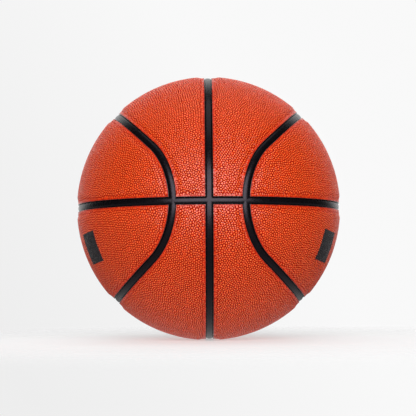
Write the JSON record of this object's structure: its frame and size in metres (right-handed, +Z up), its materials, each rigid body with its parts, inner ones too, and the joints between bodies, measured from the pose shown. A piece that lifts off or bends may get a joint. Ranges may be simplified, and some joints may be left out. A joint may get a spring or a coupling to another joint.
{
  "type": "basketball",
  "caption": "Inflated basketball: cushioned pebbled cover panels between black rubber seam ribs, over a moulded carcass, a yarn winding and an air bladder with a needle valve.",
  "frame": {"origin": "centre of the ball", "axes": "+Z up, in the plane of the upright seam; -Y to the front, where the level and upright seams cross; +X to the right, through the middle of a side loop"},
  "size_m": [0.2412, 0.2402, 0.2412],
  "materials": {
    "cover_leather": "pebbled, satin",
    "seam_rubber": "satin",
    "cushion_foam": "matt",
    "winding_yarn": "matt",
    "bladder_rubber": "matt",
    "valve_rubber": "matt"
  },
  "bodies": {
    "root": {"bladder": "bladder_rubber", "winding": "winding_yarn", "carcass": "seam_rubber", "centre_cushion_upper_left": "cushion_foam", "centre_cushion_upper_right": "cushion_foam", "centre_cushion_lower_left": "cushion_foam", "centre_cushion_lower_right": "cushion_foam", "side_cushion_upper_left": "cushion_foam", "side_cushion_upper_right": "cushion_foam", "side_cushion_lower_left": "cushion_foam", "side_cushion_lower_right": "cushion_foam", "centre_panel_upper_left": "cover_leather", "centre_panel_upper_right": "cover_leather", "centre_panel_lower_left": "cover_leather", "centre_panel_lower_right": "cover_leather", "side_panel_upper_left": "cover_leather", "side_panel_upper_right": "cover_leather", "side_panel_lower_left": "cover_leather", "side_panel_lower_right": "cover_leather", "valve_seat": "valve_rubber", "valve_plug": "valve_rubber"}
  },
  "joints": []
}
